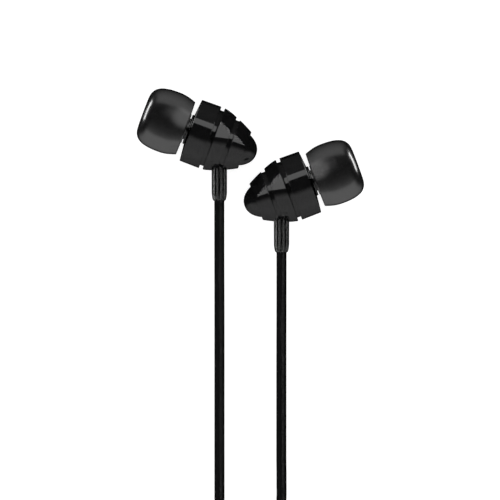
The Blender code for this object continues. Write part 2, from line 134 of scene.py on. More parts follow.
def catmull_rom(route, steps=CURVE_STEPS):
    """Dense points on a smooth curve through the route's points."""
    ends = [2 * route[0] - route[1], *route, 2 * route[-1] - route[-2]]
    dense = []
    for p0, p1, p2, p3 in zip(ends, ends[1:], ends[2:], ends[3:]):
        for step in range(steps):
            t = step / steps
            dense.append(0.5 * (2 * p1 + (p2 - p0) * t + (2 * p0 - 5 * p1 + 4 * p2 - p3) * t ** 2
                                + (3 * p1 - p0 - 3 * p2 + p3) * t ** 3))
    dense.append(route[-1])
    return dense


def path_length(points):
    return sum((b - a).length for a, b in zip(points, points[1:]))


def even_points(dense, count):
    """That many equal steps along a dense line."""
    total = path_length(dense)
    picked = [dense[0]]
    walked = 0.0
    for a, b in zip(dense, dense[1:]):
        step = (b - a).length
        while len(picked) < count and walked + step >= total * len(picked) / count:
            picked.append(a.lerp(b, (total * len(picked) / count - walked) / step))
        walked += step
    picked.append(dense[-1])
    return picked


def cord_curve(name, lead, coil, tail, lead_steps, tail_steps):
    """One smooth curve: the lead in, the coil's turns, and the tail out."""
    lead_line = catmull_rom([Vector(p) for p in lead] + coil[:2])[:-CURVE_STEPS]
    tail_line = catmull_rom(coil[-2:] + [Vector(p) for p in tail])[CURVE_STEPS:]
    points = even_points(lead_line, lead_steps)[:-1] + coil + even_points(tail_line, tail_steps)[1:]
    curve = bpy.data.curves.new(name, "CURVE")
    curve.dimensions = "3D"
    curve.bevel_depth = CORD_RADIUS * MM
    curve.bevel_resolution = 6
    curve.resolution_u = 5
    curve.use_fill_caps = True
    spline = curve.splines.new("BEZIER")
    spline.bezier_points.add(len(points) - 1)
    for knot, point in zip(spline.bezier_points, points):
        knot.co = point * MM
        knot.handle_left_type = "AUTO"
        knot.handle_right_type = "AUTO"
    item = bpy.data.objects.new(name, curve)
    bpy.context.scene.collection.objects.link(item)
    return item, path_length(points) * MM


def make_cords():
    """The two upper cords and the main cord, each one piece from end to end."""
    inside_boot = 3.0
    left_start = RIM_Y["left"] - BOOT_END + inside_boot
    right_start = RIM_Y["right"] - BOOT_END + inside_boot
    left_lead = [
        (-BOOT_X, left_start, AXIS_Z), (-BOOT_X, -6.19, AXIS_Z), (-BOOT_X, -10.0, 6.15),
        (-BOOT_X, -14.5, 5.45), (-BOOT_X, -19.5, 3.70), (-BOOT_X, -24.5, 1.90), (-BOOT_X, -30.0, 1.10),
        (-BOOT_X, -38.0, CORD_Z), (-BOOT_X, -50.0, CORD_Z), (-BOOT_X, -62.0, CORD_Z),
        (-BOOT_X, -75.0, CORD_Z), (-BOOT_X, -85.9, 1.35),
    ]
    touch_x = -BOOT_X + UPPER_ENTRY * (1 - math.cos(RIGHT_ENTRY))
    touch_y = UPPER_COIL[1] + UPPER_ENTRY * math.sin(RIGHT_ENTRY)
    reach = 8.1
    right_lead = [
        (BOOT_X, right_start, AXIS_Z), (BOOT_X, -16.11, AXIS_Z), (BOOT_X, -20.0, 6.15),
        (BOOT_X, -24.5, 5.45), (BOOT_X, -29.5, 3.70), (BOOT_X, -34.5, 1.90), (BOOT_X, -40.0, 1.10),
        (BOOT_X, -48.0, CORD_Z), (BOOT_X, -56.0, CORD_Z), (BOOT_X, -63.5, CORD_Z),
        (5.50, -67.8, 1.15), (4.25, -72.2, 1.95), (2.15, -76.6, 3.30),
        (touch_x + reach * math.sin(RIGHT_ENTRY), touch_y + reach * math.cos(RIGHT_ENTRY), 4.70),
    ]
    left_tail = [(-6.24, -102.1, 3.10), (-6.15, -106.0, 2.45), (-BOOT_X, -112.7, SPLIT_CORD_Z),
                 (-BOOT_X, -115.0, SPLIT_CORD_Z)]
    right_tail = [(-5.80, -102.6, 6.30), (-5.10, -105.8, 4.50), (-4.25, -109.4, 2.70),
                  (-3.92, -112.7, SPLIT_CORD_Z), (-3.92, -115.0, SPLIT_CORD_Z)]
    main_lead = [(SPLIT_X, -131.0, SPLIT_CORD_Z), (SPLIT_X, -133.6, SPLIT_CORD_Z),
                 (SPLIT_X, -135.8, 1.85), (SPLIT_X, -138.2, 1.35)]
    main_tail = [
        (-5.28, -153.8, 6.30), (-5.30, -157.2, 4.60), (-5.50, -160.6, 2.75), (-6.30, -163.9, 1.45),
        (-7.95, -166.4, CORD_Z), (-10.40, -167.6, CORD_Z), (-12.95, -166.5, CORD_Z),
        (-14.75, -163.8, 1.10), (-15.35, -160.2, 1.65), (PLUG_X, -157.2, 2.45),
        (PLUG_X, -154.5, PLUG_Z), (PLUG_X, -152.0, PLUG_Z),
    ]
    upper_inner = 9.20
    main_inner = 8.58
    west = math.pi
    left_coil = coil_points(UPPER_COIL, west, upper_inner, (0, 2), 4)
    right_coil = coil_points(UPPER_COIL, west - RIGHT_ENTRY, upper_inner, (2, 2), 4 + 1 / 12)
    main_coil = coil_points(MAIN_COIL, west, main_inner, (0, 4), 11)
    return {
        "left": cord_curve("left_cord_run", left_lead, left_coil, left_tail, 18, 5),
        "right": cord_curve("right_cord_run", right_lead, right_coil, right_tail, 18, 6),
        "main": cord_curve("main_cord_run", main_lead, main_coil, main_tail, 4, 15),
    }


# ---------------------------------------------------------------- shader helpers
def new_shader(name, colour, roughness, metallic=0.0):
    mat = bpy.data.materials.new(name)
    mat.use_nodes = True
    shader = mat.node_tree.nodes["Principled BSDF"]
    shader.inputs["Base Color"].default_value = (*colour, 1.0)
    shader.inputs["Roughness"].default_value = roughness
    shader.inputs["Metallic"].default_value = metallic
    return mat


def shader_of(mat):
    return mat.node_tree.nodes["Principled BSDF"]


def object_noise(mat, scale, detail=3.0, stretch=(1.0, 1.0, 1.0)):
    """Noise in the piece's own coordinates; scale is in features for each metre."""
    tree = mat.node_tree
    place = tree.nodes.new("ShaderNodeTexCoord")
    mapping = tree.nodes.new("ShaderNodeMapping")
    mapping.inputs["Scale"].default_value = stretch
    tex = tree.nodes.new("ShaderNodeTexNoise")
    tex.inputs["Scale"].default_value = scale
    tex.inputs["Detail"].default_value = detail
    tree.links.new(place.outputs["Object"], mapping.inputs["Vector"])
    tree.links.new(mapping.outputs["Vector"], tex.inputs["Vector"])
    return tex.outputs["Fac"]


def vary_colour(mat, signal, dark, light, low=0.35, high=0.65):
    tree = mat.node_tree
    ramp = tree.nodes.new("ShaderNodeValToRGB")
    ramp.color_ramp.elements[0].position = low
    ramp.color_ramp.elements[0].color = (*dark, 1.0)
    ramp.color_ramp.elements[1].position = high
    ramp.color_ramp.elements[1].color = (*light, 1.0)
    tree.links.new(signal, ramp.inputs["Fac"])
    tree.links.new(ramp.outputs["Color"], shader_of(mat).inputs["Base Color"])


def vary_roughness(mat, signal, smooth, rough, low=0.35, high=0.65):
    tree = mat.node_tree
    span = tree.nodes.new("ShaderNodeMapRange")
    span.inputs["From Min"].default_value = low
    span.inputs["From Max"].default_value = high
    span.inputs["To Min"].default_value = smooth
    span.inputs["To Max"].default_value = rough
    tree.links.new(signal, span.inputs["Value"])
    tree.links.new(span.outputs["Result"], shader_of(mat).inputs["Roughness"])


def add_bump(mat, signal, height_mm, strength=1.0):
    """Raise the surface by the signal; a second call adds to the first."""
    tree = mat.node_tree
    bump = tree.nodes.new("ShaderNodeBump")
    bump.inputs["Strength"].default_value = strength
    bump.inputs["Distance"].default_value = height_mm * MM
    normal = shader_of(mat).inputs["Normal"]
    if normal.is_linked:
        tree.links.new(normal.links[0].from_socket, bump.inputs["Normal"])
    tree.links.new(signal, bump.inputs["Height"])
    tree.links.new(bump.outputs["Normal"], normal)


# ---------------------------------------------------------------- materials
def gloss_black_finish():
    """Injection-moulded, polished ABS: near mirror, with faint handling haze."""
    mat = new_shader("gloss_black", (0.0028, 0.0028, 0.0030), 0.06)
    haze = object_noise(mat, 420.0, 5.0)
    vary_roughness(mat, haze, 0.045, 0.085)
    vary_colour(mat, object_noise(mat, 900.0), (0.0024, 0.0024, 0.0026), (0.0034, 0.0034, 0.0036))
    add_bump(mat, object_noise(mat, 260.0, 1.0), 0.004, 0.25)
    return mat


def silicone_finish():
    """Liquid-silicone moulding: satin, with a fine grain."""
    mat = new_shader("silicone", (0.005, 0.005, 0.005), 0.22)
    vary_colour(mat, object_noise(mat, 1200.0, 4.0), (0.0042, 0.0042, 0.0043), (0.0062, 0.0062, 0.0063))
    vary_roughness(mat, object_noise(mat, 700.0, 4.0), 0.20, 0.25)
    add_bump(mat, object_noise(mat, 9000.0, 2.0), 0.002, 0.35)
    return mat


def rubber_finish():
    """Moulded rubber: satin, with a fine grain."""
    mat = new_shader("rubber", (0.0035, 0.0035, 0.0035), 0.17)
    vary_colour(mat, object_noise(mat, 1500.0, 4.0), (0.0030, 0.0030, 0.0030), (0.0042, 0.0042, 0.0042))
    vary_roughness(mat, object_noise(mat, 900.0, 4.0), 0.16, 0.19)
    add_bump(mat, object_noise(mat, 8000.0, 2.0), 0.001, 0.25)
    return mat


def cord_finish():
    """Extruded TPE jacket: satin, with faint mottling."""
    mat = new_shader("cord", (0.0024, 0.0024, 0.0024), 0.25)
    vary_colour(mat, object_noise(mat, 1400.0, 4.0), (0.0021, 0.0021, 0.0021), (0.0028, 0.0028, 0.0028))
    vary_roughness(mat, object_noise(mat, 1100.0, 4.0), 0.235, 0.260)
    add_bump(mat, object_noise(mat, 7000.0, 2.0), 0.001, 0.2)
    return mat


def tie_finish():
    """Hook-and-loop strap: a matt weave with a fuzzy surface."""
    mat = new_shader("tie", (0.014, 0.014, 0.014), 0.85)
    tree = mat.node_tree
    place = tree.nodes.new("ShaderNodeTexCoord")
    weave = tree.nodes.new("ShaderNodeTexWave")
    weave.bands_direction = "Y"
    weave.inputs["Scale"].default_value = 900.0
    tree.links.new(place.outputs["Object"], weave.inputs["Vector"])
    vary_colour(mat, object_noise(mat, 5200.0, 5.0), (0.008, 0.008, 0.008), (0.024, 0.024, 0.025))
    vary_roughness(mat, object_noise(mat, 3000.0), 0.75, 0.95)
    add_bump(mat, weave.outputs["Fac"], 0.03, 0.6)
    add_bump(mat, object_noise(mat, 9000.0, 4.0), 0.02, 0.8)
    shader_of(mat).inputs["Sheen Weight"].default_value = 0.25
    return mat


def metal_finish(name, colour, roughness, grain=2600.0, spread=0.08):
    """Plain metal with faint machining or plating grain."""
    mat = new_shader(name, colour, roughness, 1.0)
    darker = tuple(0.86 * c for c in colour)
    vary_colour(mat, object_noise(mat, grain, 4.0, (1.0, 1.0, 0.15)), darker, colour)
    vary_roughness(mat, object_noise(mat, grain, 5.0, (1.0, 1.0, 0.2)), roughness - spread / 2,
                   roughness + spread)
    add_bump(mat, object_noise(mat, grain * 2, 3.0, (1.0, 1.0, 0.15)), 0.002, 0.3)
    return mat


def plain_finish(name, colour, roughness, grain=3000.0, height_mm=0.004, contrast=0.25):
    """Moulded or printed small part: slight mottling and grain."""
    mat = new_shader(name, colour, roughness)
    dark = tuple((1 - contrast) * c for c in colour)
    light = tuple(min(1.0, (1 + contrast) * c) for c in colour)
    vary_colour(mat, object_noise(mat, grain, 4.0), dark, light)
    vary_roughness(mat, object_noise(mat, grain * 0.6, 4.0), roughness - 0.05, roughness + 0.07)
    add_bump(mat, object_noise(mat, grain * 2.5, 3.0), height_mm, 0.5)
    return mat


def make_materials():
    """Finishes by the record's slot names."""
    return {
        "gloss_black": gloss_black_finish(),
        "silicone": silicone_finish(),
        "rubber": rubber_finish(),
        "cord": cord_finish(),
        "tie": tie_finish(),
        "mesh_steel": metal_finish("mesh_steel", (0.46, 0.46, 0.47), 0.30),
        "steel": metal_finish("steel", (0.55, 0.55, 0.56), 0.28),
        "magnet": metal_finish("magnet", (0.50, 0.50, 0.52), 0.20),
        "copper": metal_finish("copper", (0.72, 0.35, 0.18), 0.30, 6000.0),
        "film": plain_finish("film", (0.50, 0.48, 0.42), 0.22, 2200.0, 0.002, 0.08),
        "foam": plain_finish("foam", (0.03, 0.03, 0.03), 0.90, 5200.0, 0.05, 0.5),
        "board": plain_finish("board", (0.02, 0.16, 0.07), 0.40, 2400.0, 0.006, 0.3),
        "crimp": metal_finish("crimp", (0.65, 0.64, 0.60), 0.32),
        "lead_red": plain_finish("lead_red", (0.55, 0.05, 0.03), 0.35),
        "lead_green": plain_finish("lead_green", (0.03, 0.30, 0.10), 0.35),
        "plug_metal": metal_finish("plug_metal", (0.88, 0.70, 0.36), 0.18, 4000.0),
        "insulator": plain_finish("insulator", (0.012, 0.012, 0.012), 0.35),
    }


# ---------------------------------------------------------------- mesh helpers
TURNED_SIDES = 160                   # sides of the turned earphone pieces
SMALL_SIDES = 64                     # and of the small turned pieces


def add_piece(name, mesh, slot, body="root", matrix=None, replaces=(), sharp=32.0):
    """Link a finished mesh as a piece that rides on a CAD body and stands for CAD nodes."""
    mesh.materials.append(FINISH[slot])
    item = bpy.data.objects.new(name, mesh)
    bpy.context.scene.collection.objects.link(item)
    if matrix is not None:
        item.matrix_world = matrix
    mesh.shade_smooth()
    mesh.set_sharp_from_angle(angle=math.radians(sharp))
    item.visible_glossy = slot == "rubber"           # the gloss mirrors only the rubber pieces
    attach(item, body)
    if replaces:
        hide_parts(*replaces)
    return item


def rounded(corners, steps=5):
    """Outline points from (r, z) or (r, z, fillet) corners of a closed outline."""
    outline = []
    for before, here, after in zip(corners[-1:] + corners[:-1], corners, corners[1:] + corners[:1]):
        point = Vector(here[:2])
        if len(here) == 2:
            outline.append(point)
            continue
        to_before = (Vector(before[:2]) - point).normalized()
        to_after = (Vector(after[:2]) - point).normalized()
        half = to_before.angle(to_after) / 2
        back = here[2] / math.tan(half)
        start = point + to_before * back
        end = point + to_after * back
        for step in range(steps + 1):
            t = step / steps
            outline.append((1 - t) ** 2 * start + 2 * t * (1 - t) * point + t * t * end)
    return outline


def supported(outline, reach=0.05):
    """Add a point near each end of the long runs, so that smooth shading stays in the fillets."""
    points = []
    for here, after in zip(outline, outline[1:] + outline[:1]):
        points.append(here)
        run = after - here
        on_axis = here.x == 0.0 and after.x == 0.0
        if run.length > 5 * reach and not on_axis:
            points.append(here + run.normalized() * reach)
            points.append(after - run.normalized() * reach)
    return points


def bowed(start, end, rise, steps=14):
    """Points on a shallow arc between two outline points, without its ends."""
    a = Vector(start)
    run = Vector(end) - a
    out = Vector((-run.y, run.x)).normalized() * rise
    return [tuple(a + run * t + out * 4 * t * (1 - t)) for t in (i / steps for i in range(1, steps))]


def spline_outline(points, steps=5):
    """A smooth open line through (r, z) points."""
    dense = catmull_rom([Vector(p) for p in points], steps)
    return [tuple(p) for p in dense]


def lathe(outline, sides=96, radius_change=None):
    """Turn a closed (r, z) outline about Z. radius_change(angle, r, z) may alter a point's radius."""
    body = bmesh.new()
    points = [Vector(p) for p in outline]
    area = sum(a.x * b.y - b.x * a.y for a, b in zip(points, points[1:] + points[:1]))
    if area < 0:
        points.reverse()
    rings = []
    for point in points:
        if point.x < 1e-6:
            rings.append([body.verts.new((0.0, 0.0, point.y * MM))] * sides)
            continue
        ring = []
        for side in range(sides):
            angle = 2 * math.pi * side / sides
            radius = point.x if radius_change is None else radius_change(angle, point.x, point.y)
            x = radius * math.cos(angle) * MM
            y = radius * math.sin(angle) * MM
            ring.append(body.verts.new((x, y, point.y * MM)))
        rings.append(ring)
    for ring, following in zip(rings, rings[1:] + rings[:1]):
        if ring[0] is ring[1] and following[0] is following[1]:
            continue
        for side in range(sides):
            after = (side + 1) % sides
            corners = [ring[side], ring[after], following[after], following[side]]
            unique = list(dict.fromkeys(corners))
            if len(unique) > 2:
                body.faces.new(unique)
    bmesh.ops.recalc_face_normals(body, faces=body.faces)
    mesh = bpy.data.meshes.new("turned")
    body.to_mesh(mesh)
    body.free()
    return mesh


def loft(rings, closed=False):
    """Skin between rings of points with the same count; flat ends unless the loft is closed."""
    body = bmesh.new()
    rows = [[body.verts.new(Vector(p) * MM) for p in ring] for ring in rings]
    pairs = list(zip(rows, rows[1:]))
    if closed:
        pairs.append((rows[-1], rows[0]))
    for row, following in pairs:
        for here in range(len(row)):
            after = (here + 1) % len(row)
            body.faces.new((row[here], row[after], following[after], following[here]))
    if not closed:
        body.faces.new(rows[0][::-1])
        body.faces.new(rows[-1])
    bmesh.ops.recalc_face_normals(body, faces=body.faces)
    mesh = bpy.data.meshes.new("lofted")
    body.to_mesh(mesh)
    body.free()
    return mesh


def cut_mesh(mesh, cutter_mesh, cutter_place):
    """Cut one mesh, at its place, out of another."""
    target = bpy.data.objects.new("target", mesh)
    cutter = bpy.data.objects.new("cutter", cutter_mesh)
    for item in (target, cutter):
        bpy.context.scene.collection.objects.link(item)
    cutter.matrix_world = cutter_place
    step = target.modifiers.new("cut", "BOOLEAN")
    step.operation = "DIFFERENCE"
    step.solver = "EXACT"
    step.object = cutter
    bpy.context.view_layer.update()
    graph = bpy.context.evaluated_depsgraph_get()
    result = bpy.data.meshes.new_from_object(target.evaluated_get(graph))
    for item in (target, cutter):
        bpy.data.objects.remove(item, do_unlink=True)
    return result


def axis_matrix(side):
    """Place of an earphone's own frame: +Z along the sound axis, +X down."""
    heading = -TILT if side == "left" else math.pi + TILT
    place = Matrix.Translation(Vector((SIGN[side] * RIM_X, RIM_Y[side], AXIS_Z)) * MM)
    return place @ Matrix.Rotation(heading, 4, "Z") @ Matrix.Rotation(math.pi / 2, 4, "Y")


def boot_matrix(side):
    """Place of a strain relief's frame: +Z along the world's -Y, from the housing's surface."""
    place = Matrix.Translation(Vector((SIGN[side] * BOOT_X, RIM_Y[side] - BOOT_ENTRY, AXIS_Z)) * MM)
    return place @ Matrix.Rotation(math.pi / 2, 4, "X")


def level_axes(side):
    """Level directions of an earphone: out of its front, and across it towards +Y."""
    front = Vector((SIGN[side] * math.cos(TILT), math.sin(TILT), 0.0))
    across = Vector((-SIGN[side] * math.sin(TILT), math.cos(TILT), 0.0))
    return front, across


# ---------------------------------------------------------------- earphone pieces
def ear_tip(side):
    """Silicone tip: sleeve, rounded front, and a skirt folded back, with crisp rear edges."""
    outer = spline_outline([
        (5.40, -1.30), (5.66, -2.08), (5.90, -2.94), (6.04, -3.90), (6.07, -4.90), (6.02, -6.18),
        (5.86, -7.26), (5.56, -8.24), (5.08, -9.02), (4.42, -9.53), (3.76, -9.77), (3.00, -9.85),
        (2.62, -9.74), (2.44, -9.46),
    ])
    inner = spline_outline([
        (2.94, -8.00), (3.00, -8.40), (3.30, -8.74), (3.75, -8.78), (4.20, -8.56), (4.75, -7.85),
        (5.15, -6.80), (5.35, -5.60), (5.38, -4.40), (5.24, -3.00), (5.02, -2.10), (4.88, -1.42),
    ])
    bore = [(2.42, -9.20), (2.42, -1.06), (2.48, -1.00), (2.88, -1.00), (2.94, -1.06)]
    rear_edge = [(4.92, -1.30), (5.00, -1.22), (5.30, -1.18), (5.37, -1.22)]
    outline = supported([Vector(p) for p in outer + bore + inner + rear_edge], 0.08)
    add_piece(f"{side}_tip_moulding", lathe(outline, TURNED_SIDES), "silicone", f"{side}_tip",
              axis_matrix(side), [f"{side}_ear_tip"])


def front_housing(side):
    """Nozzle with barb, collar, front face and the first gloss cylinder."""
    corners = [
        (6.30, 3.84, 0.07), (6.25, -0.10, 0.14), (2.94, -0.45, 0.10), (2.94, -0.78, 0.06),
        (2.10, -0.78, 0.08), (2.10, -4.60, 0.10), (2.35, -4.85, 0.08), (2.35, -5.40, 0.10),
        (2.12, -6.20, 0.06), (1.86, -6.20, 0.04), (1.86, -5.90), (1.60, -5.90, 0.04), (1.60, -0.10, 0.2),
        (2.40, 0.60, 0.2), (5.30, 0.60), (5.30, 2.60), (5.66, 2.60), (5.66, 3.84, 0.05),
    ]
    mesh = lathe(supported(rounded(corners)), TURNED_SIDES)
    add_piece(f"{side}_front_housing", mesh, "gloss_black", "root", axis_matrix(side),
              [f"{side}_front_shell"])


def rear_housing(side):
    """Two bullet-shaped stretches with a groove between them, and the strain relief's hole."""
    tail = bowed((3.72, 10.95), (5.12, 8.08), 0.05)
    groove = [(5.12, 8.08, 0.10), (4.87, 8.08, 0.08), (4.87, 7.29, 0.04), (5.43, 7.29, 0.05)]
    cone = bowed((5.43, 7.29), (6.28, 4.61), 0.09)
    spigot = [(6.28, 4.61, 0.15), (5.61, 4.61, 0.14), (5.61, 2.75), (5.05, 2.75)]
    inside = [(5.05, 5.20), (4.10, 6.60), (4.10, 8.40), (3.12, 10.20), (3.12, 10.95, 0.04)]
    corners = [(3.72, 10.95, 0.05)] + tail + groove + cone + spigot + inside
    shell = lathe(supported(rounded(corners)), TURNED_SIDES)
    hole_radius = 1.58
    hole = lathe(rounded([(0.0, -2.9), (hole_radius, -2.9), (hole_radius, 3.0), (0.0, 3.0)]), 48)
    mesh = cut_mesh(shell, hole, axis_matrix(side).inverted() @ boot_matrix(side))
    add_piece(f"{side}_rear_housing", mesh, "gloss_black", "root", axis_matrix(side),
              [f"{side}_rear_shell"])


def nose_cap(side):
    """Smooth blunt dome on a skirt in the rear housing's end."""
    dome = spline_outline([
        (0.0, 13.32), (0.76, 13.22), (1.50, 12.91), (2.13, 12.41), (2.70, 11.72), (3.07, 11.06),
    ])
    skirt = [(3.08, 10.90), (3.06, 9.95), (2.50, 9.90)]
    inside = [(2.50, 11.00), (1.60, 12.10), (0.0, 12.62)]
    mesh = lathe(supported([Vector(p) for p in dome + skirt + inside]), TURNED_SIDES)
    add_piece(f"{side}_nose_cap", mesh, "gloss_black", "root", axis_matrix(side), [f"{side}_rear_cap"])


def strain_relief(side):
    """Rubber boot with twelve flutes that run out towards its tapered end."""
    flutes = 12
    groove_depth = 0.32
    rib_rounding = 0.02
    straight_end = 4.4
    end = BOOT_END - BOOT_ENTRY
    outer = spline_outline([(1.03, end), (1.16, end - 0.08), (1.30, 5.76), (1.36, 5.50), (1.42, 5.16),
                            (1.475, 4.75), (1.495, straight_end), (1.50, 3.4)])
    stretch = [(1.50, 3.4 - 0.4 * i) for i in range(1, 13)]
    outline = outer + stretch + [(1.50, -1.85), (1.80, -1.95), (1.82, -2.25), (1.03, -2.30)]

    def fluted(angle, radius, z):
        if radius < 1.1 or z < -1.7:
            return radius
        pitch = 2 * math.pi / flutes
        off_rib = abs((angle / pitch + 0.5) % 1.0 - 0.5) * 2         # 0 on a rib's crest, 1 in a groove
        groove = ease((off_rib - 0.50) / 0.40)
        fade = 1 - 0.60 * ease((z - straight_end + 0.3) / 1.4)
        return radius - (groove_depth * groove + rib_rounding * off_rib ** 2) * fade

    turn = Matrix.Rotation(math.pi / flutes, 4, "Z")
    mesh = lathe([Vector(p) for p in outline], flutes * 16, fluted)
    add_piece(f"{side}_strain_relief", mesh, "rubber", "root", boot_matrix(side) @ turn,
              [f"{side}_boot"], 60.0)


def wire(points, radius, sides=6):
    """Rings round a line of points, for loft."""
    rings = []
    for index, point in enumerate(points):
        along = (points[min(index + 1, len(points) - 1)] - points[max(index - 1, 0)]).normalized()
        across = along.cross(Vector(UP)).normalized()
        over = across.cross(along)
        rings.append([point + (across * math.cos(a) + over * math.sin(a)) * radius
                      for a in (2 * math.pi * i / sides for i in range(sides))])
    return rings


def nozzle_screen(side):
    """Woven wire mesh in a rim, in the nozzle's end."""
    level = -6.04
    reach = 1.68
    pitch = 0.21
    wire_radius = 0.045
    body = bmesh.new()
    count = int(reach / pitch)
    for lane in range(-count, count + 1):
        offset = lane * pitch
        half = math.sqrt(reach ** 2 - offset ** 2)
        if half < 2 * pitch:
            continue
        for direction in (0, 1):
            steps = max(8, round(8 * half / pitch))
            line = []
            for step in range(steps + 1):
                along = -half + 2 * half * step / steps
                wave = math.cos(math.pi * (along / pitch + lane + direction)) * wire_radius
                line.append(Vector((along, offset, level + wave)) if direction == 0
                            else Vector((offset, along, level + wave)))
            part = loft(wire(line, wire_radius))
            body.from_mesh(part)
            bpy.data.meshes.remove(part)
    rim = [(1.60, -6.13, 0.03), (1.80, -6.13, 0.03), (1.80, -5.95, 0.03), (1.60, -5.95, 0.03)]
    body.from_mesh(lathe(rounded(rim, 3), 64))
    mesh = bpy.data.meshes.new("screen")
    body.to_mesh(mesh)
    body.free()
    add_piece(f"{side}_woven_screen", mesh, "mesh_steel", "root", axis_matrix(side),
              [f"{side}_nozzle_screen"], 60.0)


# ---------------------------------------------------------------- pieces on the cords
def y_split():
    """Small flat-bottomed moulding that narrows from two cords to one."""
    lo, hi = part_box("y_split")
    length = (hi.y - lo.y) / MM
    height = (hi.z - lo.z) / MM
    middle = (lo.x + hi.x) / 2 / MM
    top = hi.y / MM
    wide_end = 8.0
    narrow_end = 5.6
    notch_depth = 0.16
    notch_places = (0.66, 0.74, 0.82)
    notch_width = 0.012
    stations = 44
    corners = 40
    rings = []
    for station in range(stations + 1):
        share = station / stations
        width = wide_end + (narrow_end - wide_end) * ease(share)
        end_round = 1 - (abs(2 * share - 1)) ** 14 * 0.22
        notch = notch_depth * sum(math.exp(-((share - place) / notch_width) ** 2)
                                  for place in notch_places)
        ring = []
        for corner in range(corners):
            angle = 2 * math.pi * corner / corners
            right = abs(math.cos(angle)) ** 0.5 * math.copysign(1, math.cos(angle))
            up = abs(math.sin(angle)) ** 0.5 * math.copysign(1, math.sin(angle))
            x = right * (width / 2 - notch) * end_round
            z = up * height / 2 * end_round
            z -= notch if z > 0 else 0
            ring.append((middle + x, top - length * share, height / 2 + z))
        rings.append(ring)
    add_piece("y_split_moulding", loft(rings), "rubber", replaces=["y_split"], sharp=50.0)


def split_boot():
    """The split's strain relief, with four grooves."""
    end = 6.0
    groove_depth = 0.22
    lo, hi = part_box("y_split_boot")
    place = Matrix.Translation(Vector(((lo.x + hi.x) / 2, hi.y, (lo.z + hi.z) / 2)))
    corners = [(1.06, end, 0.03), (1.30, end - 0.3, 0.1)]
    for ring in range(4):
        low = 4.6 - ring * 1.1
        thick = 1.42 + 0.09 * ring
        floor = thick - groove_depth
        corners += [(thick, low + 0.35, 0.05), (floor, low + 0.30, 0.04), (floor, low, 0.04),
                    (thick + 0.02, low - 0.05, 0.05)]
    corners += [(1.75, 0.0, 0.08), (1.0, 0.0), (1.0, end)]
    mesh = lathe(supported(rounded(corners)), SMALL_SIDES)
    add_piece("y_split_relief", mesh, "rubber", matrix=place @ Matrix.Rotation(math.pi / 2, 4, "X"),
              replaces=["y_split_boot"])


def coil_tie(name, node):
    """A strap closed round the coil's section, with its free end laid over itself."""
    lo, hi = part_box(node)
    thickness = 0.38
    corner_round = 0.35
    low = Vector((lo.x, lo.z)) / MM + Vector((thickness, thickness))
    high = Vector((hi.x, hi.z)) / MM - Vector((thickness, thickness))
    middle_y = (lo.y + hi.y) / 2 / MM
    half_width = (hi.y - lo.y) / 2 / MM
    corners = [(x, z, corner_round) for x, z in ((low.x, low.y), (high.x, low.y), (high.x, high.y),
                                                 (low.x, high.y))]
    path = supported(rounded(corners, 5), 0.4)

    def band(points, closed, gap, thick, narrow=0.0):
        """A band of the strap, this far outside a line of points."""
        rings = []
        count = len(points)
        for index, point in enumerate(points):
            after = points[(index + 1) % count] if closed else points[min(index + 1, count - 1)]
            before = points[(index - 1) % count] if closed else points[max(index - 1, 0)]
            along = (after - before).normalized()
            out = Vector((along.y, -along.x))
            edge = 0.09
            width = half_width - narrow
            section = [(gap, -width + edge), (gap + edge, -width), (gap + thick - edge, -width),
                       (gap + thick, -width + edge), (gap + thick, width - edge),
                       (gap + thick - edge, width), (gap + edge, width), (gap, width - edge)]
            rings.append([(point.x + out.x * n, middle_y + y, point.y + out.y * n) for n, y in section])
        return loft(rings, closed)

    body = bmesh.new()
    strap = band(path, True, 0.0, thickness)
    body.from_mesh(strap)
    over = [Vector((high.x - 0.5 - (high.x - low.x - 1.1) * i / 10, high.y)) for i in range(11)]
    body.from_mesh(band(over, False, thickness + 0.01, 0.30, 0.12))
    mesh = bpy.data.meshes.new("tie")
    body.to_mesh(mesh)
    body.free()
    add_piece(name, mesh, "tie", replaces=[node])


